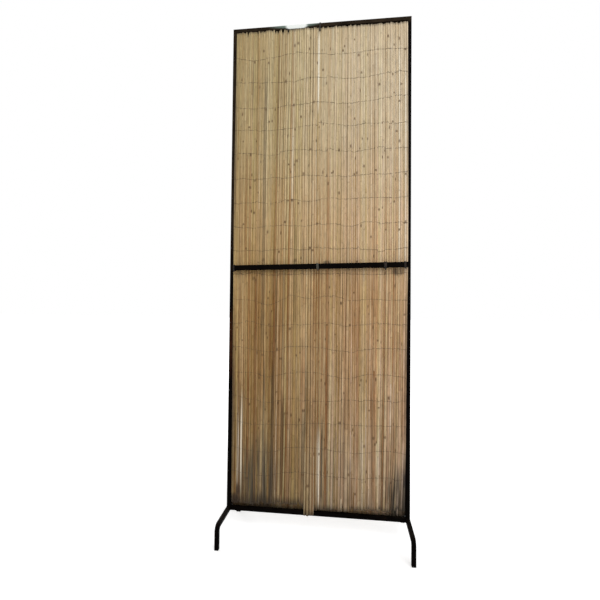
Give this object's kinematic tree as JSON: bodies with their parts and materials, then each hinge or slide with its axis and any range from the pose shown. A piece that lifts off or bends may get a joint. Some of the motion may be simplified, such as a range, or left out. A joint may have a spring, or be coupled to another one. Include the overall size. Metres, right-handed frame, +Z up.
{
  "type": "bamboo screen",
  "caption": "Tall narrow free-standing screen: a black welded tube frame on bent feet, clad on both faces with wired reed matting held by a clamp bar across the middle.",
  "frame": {"origin": "on the floor, under the middle of the screen, at the bottom centre of its bounding box", "axes": "+Z up, X across the screen's width, the front face looks along -Y"},
  "size_m": [0.732, 0.316, 2.079],
  "materials": {
    "black_frame": "black enamel, worn satin gloss with small scuffs and rust specks",
    "cap_plastic": "black moulded plastic, scuffed",
    "reed": "dry straw-coloured reed canes with dark nodes, weathered browner and mouldy towards the foot",
    "binding_wire": "dull weathered wire",
    "tie_wire": "dull galvanised wire",
    "dark_tie_wire": "black lacquered wire"
  },
  "bodies": {
    "root": {"bottom_rail": "black_frame", "centre_bar_tie": "tie_wire", "front_binding_wire_01": "binding_wire", "front_binding_wire_02": "binding_wire", "front_binding_wire_03": "binding_wire", "front_binding_wire_04": "binding_wire", "front_binding_wire_05": "binding_wire", "front_binding_wire_06": "binding_wire", "front_binding_wire_07": "binding_wire", "front_binding_wire_08": "binding_wire", "front_binding_wire_09": "binding_wire", "front_binding_wire_10": "binding_wire", "front_binding_wire_11": "binding_wire", "front_binding_wire_12": "binding_wire", "front_binding_wire_13": "binding_wire", "front_binding_wire_14": "binding_wire", "front_binding_wire_15": "binding_wire", "front_binding_wire_16": "binding_wire", "front_binding_wire_17": "binding_wire", "front_binding_wire_18": "binding_wire", "front_clamp_bar": "black_frame", "front_mat": "reed", "inner_right_bar_tie": "dark_tie_wire", "left_bar_tie": "dark_tie_wire", "left_foot": "black_frame", "left_front_foot_cap": "cap_plastic", "left_post": "black_frame", "left_rear_foot_cap": "cap_plastic", "rear_binding_wire_01": "binding_wire", "rear_binding_wire_02": "binding_wire", "rear_binding_wire_03": "binding_wire", "rear_binding_wire_04": "binding_wire", "rear_binding_wire_05": "binding_wire", "rear_binding_wire_06": "binding_wire", "rear_binding_wire_07": "binding_wire", "rear_binding_wire_08": "binding_wire", "rear_binding_wire_09": "binding_wire", "rear_binding_wire_10": "binding_wire", "rear_binding_wire_11": "binding_wire", "rear_binding_wire_12": "binding_wire", "rear_binding_wire_13": "binding_wire", "rear_binding_wire_14": "binding_wire", "rear_binding_wire_15": "binding_wire", "rear_binding_wire_16": "binding_wire", "rear_binding_wire_17": "binding_wire", "rear_binding_wire_18": "binding_wire", "rear_clamp_bar": "black_frame", "rear_mat": "reed", "right_bar_tie": "dark_tie_wire", "right_foot": "black_frame", "right_front_foot_cap": "cap_plastic", "right_post": "black_frame", "right_rear_foot_cap": "cap_plastic", "top_rail": "black_frame", "top_tie": "tie_wire"}
  },
  "joints": []
}
